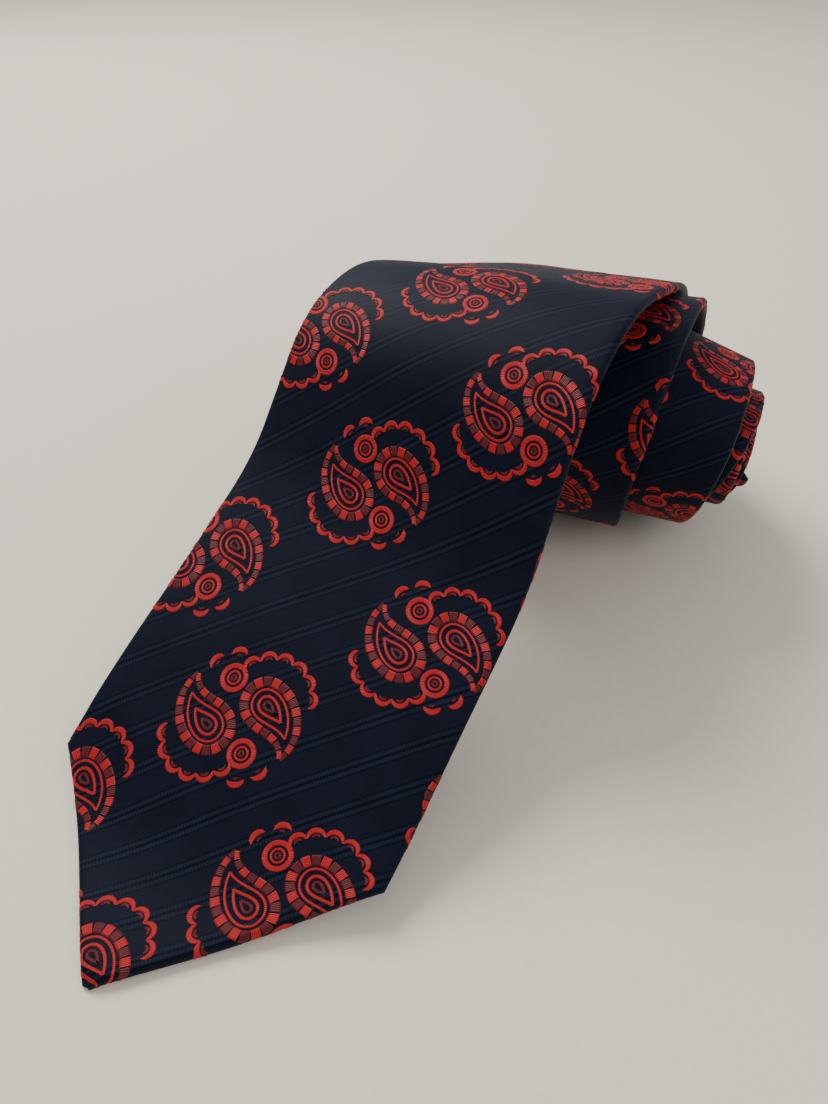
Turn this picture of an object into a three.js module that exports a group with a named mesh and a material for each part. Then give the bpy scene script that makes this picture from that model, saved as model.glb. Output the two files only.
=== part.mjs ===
// A necktie loosely rolled up from its narrow end, with the wide end drawn out over the roll.
// Millimetres, +Z up. X runs along the roll's axis and Y from the wide end's tip towards the roll.
// The origin is on the table, under the flat that the outermost wrap rests on. The tables below
// count y from REST_Y in front of it.
import * as THREE from 'three';

// ---- Driving dimensions -------------------------------------------------------------------
const TIE_LENGTH = 1370;        // tip to tip, measured along the middle of the tie
const TIP_LENGTH = 44;          // point of the wide end to its two corners
const TAIL_TIP_LENGTH = 25;     // the same at the narrow end
const FABRIC = 0.5;             // face fabric
const PLY_GAP = 0.3;            // air between two plies
const LINING = 0.3;             // tipping (lining) fabric
const CANVAS = 0.8;             // interlining
const TIE_THICKNESS = 2 * FABRIC + CANVAS + LINING + 3 * PLY_GAP;  // face to back
const PLY_INSET = 1.2;          // the plies inside stop short of the folded edges
const PLY_END = 9;              // and of both points
const BLADE_LINING_TO = 140;
const TAIL_LINING_LENGTH = 73;
const BLADE_WIDTH = 90;
const TAIL_WIDTH = 49;
const HEM = 11;                 // how far the fabric turns over at the point
const TAIL_HEM = 8;
const FOLDS_MEET = 106;         // from the point to where the two folded sides meet behind
const TAIL_FOLDS_MEET = 62;
const BACK_SLOT = 0.8;          // slot between the folded sides, filled by the slip stitch
const BLADE_JOIN = 610;         // joins between the three lengths of cloth
const TAIL_JOIN = 1010;
const JOIN_GAP = 1.0;
const STATION_STEP = 7;         // length of one facet along the tie
const TIGHT_STEP = 3.5;         // the same in the small inner turns
const TIGHT_LENGTH = 250;       // how much of the narrow end lies in them

// Width of the tie at distances from the point: [distance, width]
const WIDTHS = [
  [TIP_LENGTH, BLADE_WIDTH], [250, 87], [550, 55], [800, 39], [TIE_LENGTH - 220, 39],
  [TIE_LENGTH - TAIL_TIP_LENGTH, TAIL_WIDTH],
];

// The drawn-out wide end runs straight across the table, and climbs over the roll in straight
// stretches joined by arcs: [distance from the point, degrees that the face climbs]
const BLADE_TIP = { x: -44, y: -216, z: TIE_THICKNESS };
const BLADE_HEADING = 8.6;      // degrees from +Y towards +X
const BLADE_CLIMB = [[18, 0], [40, 26.5], [115, 26.5], [140, 54], [160, 54], [217, -15]];
// Direction straight across it: [distance, degrees turned from +X, degrees tilted up]
const BLADE_ACROSS = [
  [0, -3, 0], [20, -3, 0], [36, -3, 0], [60, -5, -4], [160, -14, -4], [230, -14, 5],
  [300, -8, 5],
];
// The left edge sags where nothing holds it up: [distance, sag at the edge]
const SAG = [[140, 0], [200, 3], [240, 4], [300, 2], [360, 0]];
const PATH_START = -15;         // the path begins a little before the point
const BLADE_STEP = 3;
const BLADE_END = 240;          // past here the tie lies on the roll
const ROLL_BLEND = 60;

// The roll, one row per turn counted inwards: [turn, half depth, half height, y of the middle]
const TURNS = [
  [0, 58, 43.7, -2], [1, 49, 40.3, -2], [2, 38.5, 32.5, -3], [3, 29.5, 23.5, -3],
  [4, 23.5, 17, -4], [5, 18, 11.5, -5], [6, 14, 7, -5], [7, 10, 4, -5],
];
// Sideways place of the middle of the tie where it meets the table: [turn, x]
const ROLL_X = [
  [0, -23], [0.65, -6], [1, 0], [1.65, 26], [2, 31], [2.65, 30], [3, 38], [4, 36], [7, 36],
];
const SIDE_SHEAR = 0.13;        // each turn leans to the right as it rises
// How far the turns narrow towards the right, as on a cone lying on its side: [turn, slope]
const CONE = [[0, 0], [0.7, 0], [1.2, 0], [1.85, 0.32], [3, 0.22], [4, 0.1], [7, 0]];
const TURN_LIFT = 4.8;          // each turn rests on the one outside it
const LIFT_FROM = 0.55;         // past the flat that the outermost wrap rests on
const REST_Y = 12;              // the middle of that flat, where the origin goes
const ROLL_START_TURN = 0.14;
const ROLL_TURNS = 7;
const TURN_STEP = 0.01;
const SIDE_ROUNDNESS = 1.2;     // how blunt the roll's front and back are
const ROLL_LEAN = 0.35;         // the roll leans forward as it rises
const BOTTOM_FLAT = 0.965;      // the turns are flattened where they rest

// Small pieces
const LOOP = { at: 186, length: 8, halfWidth: 21, lift: 1.9, thickness: 0.5 };
const LABEL = { from: 200, to: 224, halfWidth: 11, thickness: 0.25 };
const TACK = { halfWidth: 4.5, length: 1.4, thickness: 0.4 };
const STITCH_WIDTH = 0.2;

// ---- The path of the tie ------------------------------------------------------------------
// Smooth curve through the rows of a table; the first column is the parameter.
function readRow(table, value) {
  const last = table.length - 1;
  const at = Math.min(Math.max(value, table[0][0]), table[last][0]);
  let k = 0;
  while (k < last - 1 && at > table[k + 1][0]) k += 1;
  const [a, b] = [table[k], table[k + 1]];
  const before = table[Math.max(k - 1, 0)];
  const after = table[Math.min(k + 2, last)];
  const span = b[0] - a[0];
  const u = (at - a[0]) / span;
  return a.slice(1).map((start, i) => {
    const end = b[i + 1];
    const leave = span * (end - before[i + 1]) / (b[0] - before[0]);
    const arrive = span * (after[i + 1] - start) / (after[0] - a[0]);
    const bend = 2 * (start - end) + leave + arrive;
    return start + u * (leave + u * (3 * (end - start) - 2 * leave - arrive + u * bend));
  });
}

function rollPoint(turn) {
  const angle = 2 * Math.PI * turn;
  const [halfDepth, halfHeight, middle] = readRow(TURNS, turn);
  const blunt = Math.tanh(SIDE_ROUNDNESS * Math.sin(angle)) / Math.tanh(SIDE_ROUNDNESS);
  const along = (halfDepth - halfHeight) * blunt + halfHeight * Math.sin(angle);
  const up = halfHeight * Math.max(Math.cos(angle), -BOTTOM_FLAT);
  const base = TURN_LIFT * Math.max(turn - LIFT_FROM, 0);
  const z = base + BOTTOM_FLAT * halfHeight + up;
  const x = readRow(ROLL_X, turn)[0] + SIDE_SHEAR * z;
  return new THREE.Vector3(x, middle + along - ROLL_LEAN * up, z);
}

// Degrees that the face climbs at a distance from the point
function climbAt(s) {
  const next = BLADE_CLIMB.findIndex(([end]) => end > s);
  if (next === 0) return BLADE_CLIMB[0][1];
  if (next < 0) return BLADE_CLIMB[BLADE_CLIMB.length - 1][1];
  const [[start, from], [end, to]] = [BLADE_CLIMB[next - 1], BLADE_CLIMB[next]];
  return from + (to - from) * (s - start) / (end - start);
}

// The face's middle line every BLADE_STEP, from a little before the point to BLADE_END
function bladePoints() {
  const heading = THREE.MathUtils.degToRad(BLADE_HEADING);
  const forward = new THREE.Vector3(Math.sin(heading), Math.cos(heading), 0);
  const at = new THREE.Vector3(BLADE_TIP.x, BLADE_TIP.y, BLADE_TIP.z);
  at.addScaledVector(forward, PATH_START);
  const points = [at.clone()];
  for (let s = PATH_START; s < BLADE_END; s += BLADE_STEP) {
    const climb = THREE.MathUtils.degToRad(climbAt(s + BLADE_STEP / 2));
    at.addScaledVector(forward, BLADE_STEP * Math.cos(climb));
    at.z += BLADE_STEP * Math.sin(climb);
    points.push(at.clone());
  }
  return points;
}

const rollStarts = [];
function facePath() {
  const points = bladePoints();
  const joint = [points[points.length - 6], points.pop()];
  joint.push(rollPoint(ROLL_START_TURN), rollPoint(ROLL_START_TURN + 0.04));
  const bridge = new THREE.CatmullRomCurve3(joint, false, 'centripetal');
  for (let i = 0; i < 12; i += 1) points.push(bridge.getPoint((1 + i / 12) / 3));
  for (let turn = ROLL_START_TURN; turn < ROLL_TURNS; turn += TURN_STEP) {
    rollStarts.push([points.length, turn]);
    points.push(rollPoint(turn));
  }
  return points;
}

const PATH = facePath();
const LENGTHS = [PATH_START];
for (let i = 1; i < PATH.length; i += 1) {
  LENGTHS.push(LENGTHS[i - 1] + PATH[i].distanceTo(PATH[i - 1]));
}

function pathPoint(s) {
  let low = 0;
  let high = LENGTHS.length - 1;
  while (high - low > 1) {
    const middle = (low + high) >> 1;
    if (LENGTHS[middle] <= s) low = middle;
    else high = middle;
  }
  const u = (s - LENGTHS[low]) / (LENGTHS[high] - LENGTHS[low]);
  return PATH[low].clone().lerp(PATH[high], u);
}

const TURN_AT = rollStarts.map(([index, turn]) => [LENGTHS[index], turn]);
function coneSlope(s) {
  const row = TURN_AT.findLast(([start]) => start <= s);
  return row ? readRow(CONE, row[1])[0] : 0;
}

// Frame of the face at distance s: position, direction across, outward normal.
const frames = new Map();
function frameAt(s) {
  if (frames.has(s)) return frames.get(s);
  const along = pathPoint(s + 3).sub(pathPoint(s - 3)).normalize();
  const upright = new THREE.Vector3(1, 0, 0).cross(along).normalize();
  const across = along.clone().cross(upright).normalize();
  const slope = coneSlope(s) * ((1 + upright.z) / 2) ** 3;
  across.addScaledVector(upright, -slope).normalize();
  if (s < BLADE_END + ROLL_BLEND) {
    const [turned, tilted] = readRow(BLADE_ACROSS, s).map(THREE.MathUtils.degToRad);
    const flat = Math.cos(tilted);
    const drawn = new THREE.Vector3(
      flat * Math.cos(turned), flat * Math.sin(turned), Math.sin(tilted));
    across.lerp(drawn, 1 - THREE.MathUtils.smoothstep(s, BLADE_END, BLADE_END + ROLL_BLEND));
    across.normalize();
  }
  const normal = across.clone().cross(along).normalize();
  const frame = { point: pathPoint(s), across, normal };
  frames.set(s, frame);
  return frame;
}

// A place in the tie: s along it, t across it (to the right), depth below its face.
function place(s, t, depth) {
  const { point, across, normal } = frameAt(s);
  const sag = t < 0 ? readRow(SAG, s)[0] * -t / halfWidth(s) : 0;
  return point.clone().addScaledVector(across, t).addScaledVector(normal, -depth - sag);
}

function halfWidth(s) {
  const side = readRow(WIDTHS, s)[0] / 2;
  const fromTip = s * readRow(WIDTHS, TIP_LENGTH)[0] / 2 / TIP_LENGTH;
  const tailSlope = readRow(WIDTHS, TIE_LENGTH)[0] / 2 / TAIL_TIP_LENGTH;
  return Math.min(side, fromTip, (TIE_LENGTH - s) * tailSlope);
}

// ---- Solids -------------------------------------------------------------------------------
function solidMesh(name, points, faces, look) {
  let volume = 0;
  for (const [a, b, c] of faces) {
    volume += points[a].dot(points[b].clone().cross(points[c]));
  }
  const outward = volume > 0 ? faces : faces.map(([a, b, c]) => [a, c, b]);
  const geometry = new THREE.BufferGeometry();
  geometry.setAttribute('position',
    new THREE.Float32BufferAttribute(points.flatMap((p) => [p.x, p.y, p.z]), 3));
  geometry.setIndex(outward.flat());
  geometry.computeVertexNormals();
  const mesh = new THREE.Mesh(geometry, new THREE.MeshStandardMaterial(look));
  mesh.name = name;
  return mesh;
}

// Sweep a closed outline [[t, depth], ...] through the stations.
function sweep(name, stations, outlineAt, look) {
  const points = [];
  const faces = [];
  const count = outlineAt(stations[0]).length;
  stations.forEach((s, row) => {
    const outline = outlineAt(s);
    outline.forEach(([t, depth]) => points.push(place(s, t, depth)));
    if (row === 0) return;
    const [near, far] = [(row - 1) * count, row * count];
    for (let i = 0; i < count; i += 1) {
      const j = (i + 1) % count;
      if (outline[j][0] >= outline[i][0]) {
        faces.push([near + i, near + j, far + j], [near + i, far + j, far + i]);
      } else {
        faces.push([near + i, near + j, far + i], [near + j, far + j, far + i]);
      }
    }
  });
  const cap = (row) => {
    const outline = outlineAt(stations[row]).map(([t, depth]) => new THREE.Vector2(t, depth));
    return THREE.ShapeUtils.triangulateShape(outline, [])
      .map((face) => face.map((i) => row * count + i));
  };
  cap(0).forEach(([a, b, c]) => faces.push([c, b, a]));
  faces.push(...cap(stations.length - 1));
  return solidMesh(name, points, faces, look);
}

function stationsBetween(from, to, extra = []) {
  const inner = [];
  for (let s = 0; s < to - 2; s += s < TIE_LENGTH - TIGHT_LENGTH ? STATION_STEP : TIGHT_STEP) {
    if (s > from + 2) inner.push(s);
  }
  const kept = extra.filter((s) => s > from + 0.5 && s < to - 0.5);
  const spaced = inner.filter((s) => kept.every((k) => Math.abs(k - s) > 1.5));
  return [from, ...spaced, ...kept, to].sort((a, b) => a - b);
}

const CORNERS = [TIP_LENGTH, FOLDS_MEET, TIE_LENGTH - TAIL_FOLDS_MEET,
  TIE_LENGTH - TAIL_TIP_LENGTH];

// Half the opening between the two folded sides, which spreads towards each point.
function openingAt(s) {
  const half = halfWidth(s);
  const slot = BACK_SLOT / 2;
  const spread = (fromTip, meet, corner, hem) => {
    if (fromTip >= meet) return slot;
    const widest = halfWidth(fromTip === s ? corner : TIE_LENGTH - corner) - hem;
    const open = slot + (widest - slot) * (meet - fromTip) / (meet - corner);
    return Math.min(open, Math.max(half - hem, 0.28 * half));
  };
  return Math.max(spread(s, FOLDS_MEET, TIP_LENGTH, HEM),
    spread(TIE_LENGTH - s, TAIL_FOLDS_MEET, TAIL_TIP_LENGTH, TAIL_HEM));
}

// Outline of the face fabric: across the face, around both edges, and in again behind.
function envelope(s) {
  const half = halfWidth(s);
  const open = openingAt(s);
  const wall = Math.min(FABRIC, 0.4 * half);
  const round = Math.min(0.7, 0.3 * half);
  const nook = Math.min(0.4, 0.12 * half);
  const inside = half - wall;
  const [back, top, bottom] = [TIE_THICKNESS, FABRIC, TIE_THICKNESS - FABRIC];
  const right = [
    [half - round, 0], [half, round], [half, back - round], [half - round, back],
    [open, back], [open, bottom], [inside - nook, bottom], [inside, bottom - nook],
    [inside, top + nook], [inside - nook, top],
  ];
  const left = right.map(([t, depth]) => [-t, depth]).reverse();
  return [[0, 0], ...right, [0, top], ...left];
}

function ply(inset, top, bottom) {
  return (s) => {
    const half = halfWidth(s) - inset;
    return [[-half, top], [0, top], [half, top], [half, bottom], [0, bottom], [-half, bottom]];
  };
}

function bar(halfSpan, top, bottom) {
  return () => [[-halfSpan, top], [halfSpan, top], [halfSpan, bottom], [-halfSpan, bottom]];
}

// ---- Looks --------------------------------------------------------------------------------
const SILK = { color: 0x1b2136, roughness: 0.5, metalness: 0 };
const WOOL = { color: 0xd8d2c2, roughness: 0.9, metalness: 0 };
const SATIN = { color: 0x191d2c, roughness: 0.45, metalness: 0 };
const THREAD = { color: 0x20263c, roughness: 0.7, metalness: 0 };
const LABEL_TAPE = { color: 0xe8e6e0, roughness: 0.7, metalness: 0 };

// ---- Pieces -------------------------------------------------------------------------------
const tie = new THREE.Group();
tie.name = 'necktie';
tie.position.y = -REST_Y;
const half = JOIN_GAP / 2;

// Three lengths of patterned silk, each folded round to the back.
tie.add(
  sweep('blade_shell', stationsBetween(1, BLADE_JOIN - half, CORNERS), envelope, SILK),
  sweep('neck_shell', stationsBetween(BLADE_JOIN + half, TAIL_JOIN - half), envelope, SILK),
  sweep('tail_shell', stationsBetween(TAIL_JOIN + half, TIE_LENGTH - 1, CORNERS), envelope, SILK),
);

// Thread of the two seams that join them.
const SEAM = 0.15;
tie.add(
  sweep('blade_join_thread', [BLADE_JOIN - SEAM, BLADE_JOIN + SEAM], envelope, THREAD),
  sweep('tail_join_thread', [TAIL_JOIN - SEAM, TAIL_JOIN + SEAM], envelope, THREAD),
);

// One strip of brushed canvas inside, and the lining at both ends behind it.
const canvasTop = FABRIC + PLY_GAP;
const liningTop = canvasTop + CANVAS + PLY_GAP;
const tailLiningFrom = TIE_LENGTH - PLY_END - TAIL_LINING_LENGTH;
tie.add(
  sweep('interlining', stationsBetween(PLY_END, TIE_LENGTH - PLY_END, CORNERS),
    ply(PLY_INSET, canvasTop, canvasTop + CANVAS), WOOL),
  sweep('blade_lining', stationsBetween(PLY_END, BLADE_LINING_TO, CORNERS),
    ply(PLY_INSET, liningTop, liningTop + LINING), SATIN),
  sweep('tail_lining', stationsBetween(tailLiningFrom, TIE_LENGTH - PLY_END, CORNERS),
    ply(PLY_INSET, liningTop, liningTop + LINING), SATIN),
);

// Slip stitch that closes the back, and the two bar tacks that end it.
tie.add(sweep('slip_stitch', stationsBetween(FOLDS_MEET + 2, TIE_LENGTH - TAIL_FOLDS_MEET - 2),
  bar(STITCH_WIDTH / 2, TIE_THICKNESS - FABRIC, TIE_THICKNESS), THREAD));
const tackTop = TIE_THICKNESS + PLY_GAP;
const tack = (name, s) => sweep(name, [s - TACK.length / 2, s + TACK.length / 2],
  bar(TACK.halfWidth, tackTop, tackTop + TACK.thickness), THREAD);
tie.add(
  tack('blade_bar_tack', FOLDS_MEET + 4),
  tack('tail_bar_tack', TIE_LENGTH - TAIL_FOLDS_MEET - 4),
);

// Keeper loop: a narrow band across the back that the narrow end can pass through.
function keeperOutline(s) {
  const rise = (u) => tackTop + LOOP.lift * (1 - u ** 4);
  const steps = [-1, -0.93, -0.8, -0.5, 0, 0.5, 0.8, 0.93, 1];
  const near = steps.map((u) => [u * LOOP.halfWidth, rise(u)]);
  const far = steps.map((u) => [u * LOOP.halfWidth, rise(u) + LOOP.thickness]).reverse();
  return [...near, ...far];
}
tie.add(sweep('keeper_loop', [LOOP.at - LOOP.length / 2, LOOP.at, LOOP.at + LOOP.length / 2],
  keeperOutline, SILK));

// Small fibre and care label, sewn flat on the back seam.
tie.add(sweep('care_label', [LABEL.from, (LABEL.from + LABEL.to) / 2, LABEL.to],
  bar(LABEL.halfWidth, tackTop, tackTop + LABEL.thickness), LABEL_TAPE));

export default tie;
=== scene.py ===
import math

import bmesh
import bpy
import numpy as np
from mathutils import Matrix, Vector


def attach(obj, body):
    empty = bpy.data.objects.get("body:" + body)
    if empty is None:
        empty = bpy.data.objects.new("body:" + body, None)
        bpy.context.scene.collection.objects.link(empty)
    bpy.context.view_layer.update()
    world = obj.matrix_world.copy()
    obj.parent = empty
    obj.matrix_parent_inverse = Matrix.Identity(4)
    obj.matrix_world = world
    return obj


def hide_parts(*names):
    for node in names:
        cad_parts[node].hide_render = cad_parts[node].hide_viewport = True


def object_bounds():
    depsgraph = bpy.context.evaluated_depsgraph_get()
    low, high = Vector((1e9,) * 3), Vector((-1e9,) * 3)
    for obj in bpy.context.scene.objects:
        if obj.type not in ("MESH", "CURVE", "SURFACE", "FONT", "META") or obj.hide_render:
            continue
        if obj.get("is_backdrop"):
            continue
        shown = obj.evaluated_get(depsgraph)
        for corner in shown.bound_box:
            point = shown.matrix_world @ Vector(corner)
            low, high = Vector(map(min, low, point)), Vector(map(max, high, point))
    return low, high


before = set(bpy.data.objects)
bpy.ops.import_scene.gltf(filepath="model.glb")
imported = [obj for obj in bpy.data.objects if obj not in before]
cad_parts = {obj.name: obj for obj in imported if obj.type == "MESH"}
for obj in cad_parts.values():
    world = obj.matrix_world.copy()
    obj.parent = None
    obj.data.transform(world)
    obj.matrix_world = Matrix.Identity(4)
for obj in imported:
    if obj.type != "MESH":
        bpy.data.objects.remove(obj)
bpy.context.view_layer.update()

# ---- Camera -----------------------------------------------------------------------------
# It stands over the point of the wide end and looks along the tie towards the roll.
camera_data = bpy.data.cameras.new("camera")
camera_data.lens = 27.35
camera_data.sensor_width = 36.0
camera_data.clip_start = 0.01
camera = bpy.data.objects.new("camera", camera_data)
bpy.context.collection.objects.link(camera)
camera.location = (0.0490, -0.27348, 0.18239)
camera.rotation_euler = (math.radians(50.63), 0.0, math.radians(22.0))
bpy.context.scene.camera = camera


# ---- Table and light --------------------------------------------------------------------
# A pale matt table top with a fine speckle, under a large soft light from the left and a
# weaker one from the right.
def new_material(name):
    """A new material, its nodes, its links and its main shader."""
    material = bpy.data.materials.new(name)
    material.use_nodes = True
    nodes, links = material.node_tree.nodes, material.node_tree.links
    return material, nodes, links, nodes["Principled BSDF"]


def table_material():
    material, nodes, links, shader = new_material("pale_table")
    place_on = nodes.new("ShaderNodeTexCoord")
    speckle = nodes.new("ShaderNodeTexNoise")
    speckle.inputs["Scale"].default_value = 420.0
    links.new(place_on.outputs["Object"], speckle.inputs["Vector"])
    tint = nodes.new("ShaderNodeValToRGB")
    tint.color_ramp.elements[0].color = (0.80, 0.735, 0.600, 1.0)
    tint.color_ramp.elements[1].color = (0.87, 0.805, 0.665, 1.0)
    links.new(speckle.outputs["Fac"], tint.inputs["Fac"])
    links.new(tint.outputs["Color"], shader.inputs["Base Color"])
    shader.inputs["Roughness"].default_value = 0.75
    return material


def make_table(half_side):
    """A square table top under the lowest point of the tie."""
    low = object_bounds()[0][2]
    mesh = bpy.data.meshes.new("table_top")
    corners = [(-half_side, -half_side, low), (half_side, -half_side, low),
               (half_side, half_side, low), (-half_side, half_side, low)]
    mesh.from_pydata(corners, [], [(0, 1, 2, 3)])
    mesh.materials.append(table_material())
    table = bpy.data.objects.new("table_top", mesh)
    bpy.context.collection.objects.link(table)
    table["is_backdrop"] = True


def soft_light(name, place_at, size, watts, colour):
    """A round area light turned to face the middle of the tie."""
    data = bpy.data.lights.new(name, "AREA")
    data.shape, data.size, data.energy, data.color = "DISK", size, watts, colour
    light = bpy.data.objects.new(name, data)
    light.location = place_at
    facing = np.array(place_at) - np.array(LIT_POINT)
    level = math.hypot(facing[0], facing[1])
    light.rotation_euler = (math.atan2(level, facing[2]), 0.0,
                            math.atan2(facing[1], facing[0]) + math.pi / 2)
    bpy.context.collection.objects.link(light)


make_table(4.0)
LIT_POINT = (0, -0.05, 0.03)
soft_light("left_window", (-0.9, 0.5, 1.2), size=0.9, watts=25.0, colour=(1.0, 0.97, 0.93))
soft_light("right_fill", (1.0, -0.7, 1.1), size=1.2, watts=7.0, colour=(0.95, 0.97, 1.0))
world = bpy.data.worlds.new("studio")
world.use_nodes = True
world.node_tree.nodes["Background"].inputs["Color"].default_value = (0.95, 0.96, 1.0, 1.0)
world.node_tree.nodes["Background"].inputs["Strength"].default_value = 0.55
bpy.context.scene.world = world


# ---- Patterned silk, in three lengths ---------------------------------------------------
# The face of the tie: dark figured silk cut on the bias in three lengths, seamed together,
# each folded round to the back over the canvas. It lies as a rolled-up strip, so every piece
# below is placed by its distance along the tie, across it, and below its face (millimetres).
TIE_LENGTH = 1370.0
TIP_LENGTH = 44.0
TAIL_TIP_LENGTH = 25.0
THICKNESS = 3.0
FABRIC = 0.5
FABRIC_SHARE = 0.6              # most of a fold's radius that the fabric may take up
HEM, TAIL_HEM = 11.0, 8.0
FOLDS_MEET, TAIL_FOLDS_MEET = 106.0, 62.0
SLOT = 0.8
LEAST_HALF, LEAST_GAP_SHARE = 0.3, 0.28
EDGE_SHARE = 0.45               # most of the half width that a folded edge's radius takes up
BLADE_JOIN, TAIL_JOIN = 610.0, 1010.0
SEAM_GAP = 0.1
REST_Y = 12.0
# Each table's first column is the distance along the tie, or the turn of the roll counted
# inwards. WIDTHS: width. BLADE_CLIMB: climb in degrees. BLADE_ACROSS: how far the direction
# across is turned and tilted, in degrees. SAG: droop of the left edge. TURNS: half depth, half
# height and middle of a turn. ROLL_X: its place sideways. CONE: how much it flares.
WIDTHS = [(44, 90), (250, 87), (550, 55), (800, 39), (1150, 39), (1345, 49)]
BLADE_TIP = (-44.0, -216.0, THICKNESS)
BLADE_HEADING = math.radians(8.6)
BLADE_CLIMB = [(18, 0), (40, 26.5), (115, 26.5), (140, 54), (160, 54), (217, -15)]
BLADE_ACROSS = [(0, -3, 0), (20, -3, 0), (36, -3, 0), (60, -5, -4), (160, -14, -4),
                (230, -14, 5), (300, -8, 5)]
SAG = [(140, 0), (200, 3), (240, 4), (300, 2), (360, 0)]
SAG_CURVE = 1.6
RIPPLE, RIPPLE_FROM, RIPPLE_TO, RIPPLE_EASE = 0.28, 35, 330, 40
RIPPLE_ALONG, RIPPLE_OVER = (9.5, 31), (21, 13)
PATH_START, BLADE_STEP, BLADE_END, ROLL_BLEND = -15.0, 3.0, 240.0, 60.0
BRIDGE_TURN, BRIDGE_POINTS = 0.04, 12
EASE_REACH, EASE_WIDTH = 6, 2.2
LOOK_AHEAD, SPARE_LENGTH = 3, 10.0
TURNS = [(0, 58, 43.7, -2), (1, 49, 40.3, -2), (2, 38.5, 32.5, -3), (3, 29.5, 23.5, -3),
         (4, 23.5, 17, -4), (5, 18, 11.5, -5), (6, 14, 7, -5), (7, 10, 4, -5)]
ROLL_X = [(0, -23), (0.65, -6), (1, 0), (1.65, 26), (2, 31), (2.65, 30), (3, 38), (4, 36),
          (7, 36)]
CONE = [(0, 0), (0.7, 0), (1.2, 0), (1.85, 0.32), (3, 0.22), (4, 0.1), (7, 0)]
ROLL_TURNS, TURN_STEP = 7, 0.01
SIDE_SHEAR, TURN_LIFT, LIFT_FROM, ROLL_START = 0.13, 4.8, 0.55, 0.14
SIDE_ROUNDNESS, ROLL_LEAN, BOTTOM_FLAT = 1.2, 0.35, 0.965
MM = 0.001


def read_rows(table, values):
    """A smooth curve through the rows of a table, whose first column is the parameter."""
    rows = np.array(table, float)
    keys, last = rows[:, 0], len(rows) - 1
    at = np.clip(np.atleast_1d(np.asarray(values, float)), keys[0], keys[last])
    k = np.clip(np.searchsorted(keys, at, "right") - 1, 0, last - 1)
    a, b = rows[k], rows[k + 1]
    before, after = rows[np.maximum(k - 1, 0)], rows[np.minimum(k + 2, last)]
    span = b[:, :1] - a[:, :1]
    u = (at[:, None] - a[:, :1]) / span
    start, end = a[:, 1:], b[:, 1:]
    leave = span * (end - before[:, 1:]) / (b[:, :1] - before[:, :1])
    arrive = span * (after[:, 1:] - start) / (after[:, :1] - a[:, :1])
    bend = 2 * (start - end) + leave + arrive
    return start + u * (leave + u * (3 * (end - start) - 2 * leave - arrive + u * bend))


def roll_points(turn):
    """The face's middle line on the roll, at each turn counted inwards."""
    angle = 2 * np.pi * turn
    half_depth, half_height, middle = read_rows(TURNS, turn).T
    blunt = np.tanh(SIDE_ROUNDNESS * np.sin(angle)) / math.tanh(SIDE_ROUNDNESS)
    along = (half_depth - half_height) * blunt + half_height * np.sin(angle)
    up = half_height * np.maximum(np.cos(angle), -BOTTOM_FLAT)
    z = TURN_LIFT * np.maximum(turn - LIFT_FROM, 0) + BOTTOM_FLAT * half_height + up
    x = read_rows(ROLL_X, turn)[:, 0] + SIDE_SHEAR * z
    return np.stack([x, middle + along - ROLL_LEAN * up, z], axis=1)


def blade_points():
    """The face's middle line on the drawn-out wide end."""
    count = int((BLADE_END - PATH_START) / BLADE_STEP)
    middles = PATH_START + BLADE_STEP * (np.arange(count) + 0.5)
    distances, degrees = zip(*BLADE_CLIMB)
    climb = np.radians(np.interp(middles, distances, degrees))
    forward = np.array([math.sin(BLADE_HEADING), math.cos(BLADE_HEADING), 0.0])
    steps = BLADE_STEP * (np.cos(climb)[:, None] * forward)
    steps[:, 2] = BLADE_STEP * np.sin(climb)
    start = np.array(BLADE_TIP) + PATH_START * forward
    return np.vstack([start, start + np.cumsum(steps, axis=0)])


def bridge_points(joint, count):
    """A smooth curve between the second and third of four points."""
    gaps = np.sqrt(np.linalg.norm(np.diff(joint, axis=0), axis=1))
    leave = (joint[1] - joint[0]) / gaps[0] - (joint[2] - joint[0]) / (gaps[0] + gaps[1])
    leave = (leave + (joint[2] - joint[1]) / gaps[1]) * gaps[1]
    arrive = (joint[2] - joint[1]) / gaps[1] - (joint[3] - joint[1]) / (gaps[1] + gaps[2])
    arrive = (arrive + (joint[3] - joint[2]) / gaps[2]) * gaps[1]
    u = (np.arange(count) / count)[:, None]
    bend = 2 * (joint[1] - joint[2]) + leave + arrive
    rise = 3 * (joint[2] - joint[1]) - 2 * leave - arrive
    return joint[1] + u * (leave + u * (rise + u * bend))


def unit(vectors):
    return vectors / np.linalg.norm(vectors, axis=-1, keepdims=True)


def run_along(line):
    """The distance of each point of a line from its start, measured along it."""
    return np.concatenate([[0], np.cumsum(np.linalg.norm(np.diff(line, axis=0), axis=1))])


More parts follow.
